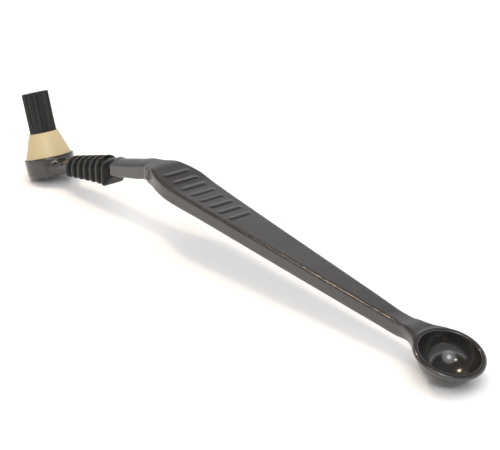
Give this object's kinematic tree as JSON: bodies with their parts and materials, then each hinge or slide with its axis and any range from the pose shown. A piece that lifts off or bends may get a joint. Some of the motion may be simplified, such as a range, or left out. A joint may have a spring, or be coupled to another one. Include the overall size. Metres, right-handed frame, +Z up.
{
  "type": "espresso machine cleaning brush",
  "caption": "Angled group-head cleaning brush: nylon tuft in a tapered ferrule, soft ribbed splash guard, long flat handle ending in a small detergent scoop.",
  "frame": {"origin": "centre of the small flat foot under the scoop, on the worktop that the tool rests on", "axes": "+Z up; -X towards the brush head; the tool is symmetric about the plane Y = 0; shown as it rests on a worktop, on the scoop's foot and the cup's lower edge"},
  "size_m": [0.2397, 0.0222, 0.0351],
  "materials": {
    "moulded_nylon": "black injection-moulded nylon, satin on the grip's top face and glossier on its sides and in the scoop",
    "guard_rubber": "soft black rubber, low sheen",
    "cream_plastic": "cream moulded plastic, soft satin",
    "bristle_filament": "packed black nylon filaments, cut square"
  },
  "bodies": {
    "handle_body": {"handle": "moulded_nylon", "splash_guard": "guard_rubber"},
    "brush_cartridge": {"ferrule": "cream_plastic", "bristle_tuft": "bristle_filament", "ferrule_plug": "cream_plastic"}
  },
  "joints": [
    {"name": "cartridge_pull", "type": "slide", "parent": "handle_body", "child": "brush_cartridge", "axis": [-0.3007, 0, 0.9537], "range_m": [0, 0.012]}
  ]
}
